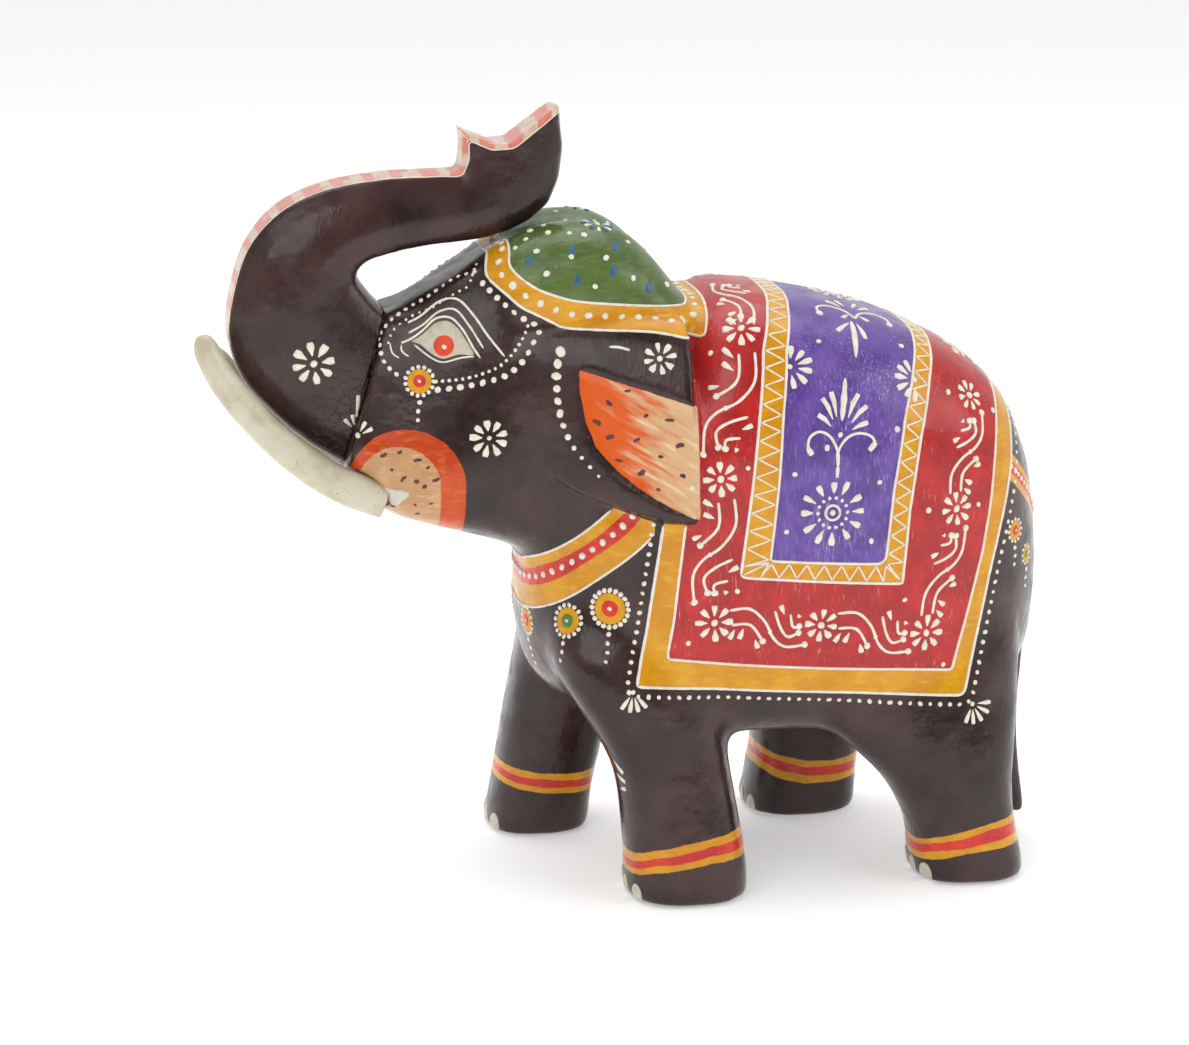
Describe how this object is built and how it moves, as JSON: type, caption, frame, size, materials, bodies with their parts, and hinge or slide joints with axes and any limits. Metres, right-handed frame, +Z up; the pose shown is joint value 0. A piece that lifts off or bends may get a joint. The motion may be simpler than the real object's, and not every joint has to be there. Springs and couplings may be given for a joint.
{
  "type": "carved wooden elephant figurine",
  "caption": "Painted carved wooden elephant figurine, standing with its trunk curled up over its head, with tusks, relief ears and a slim tail.",
  "frame": {"origin": "on the ground plane under the middle of the elephant, the centre of its box's bottom face", "axes": "+Z up; the elephant faces -X, its left side is at -Y and its right side at +Y"},
  "size_m": [0.2807, 0.119, 0.2538],
  "materials": {
    "black_paint": "carved wood under glossy brown-black paint and varnish",
    "ivory_paint": "whittled wood under thin cream paint",
    "bare_wood": "unpainted dowel"
  },
  "bodies": {
    "root": {"body_block": "black_paint", "trunk": "black_paint", "trunk_dowel_upper": "bare_wood", "trunk_dowel_lower": "bare_wood", "tusk_left": "ivory_paint", "tusk_right": "ivory_paint", "tusk_peg_left": "bare_wood", "tusk_peg_right": "bare_wood", "tail": "black_paint", "tail_pin": "bare_wood"}
  },
  "joints": []
}
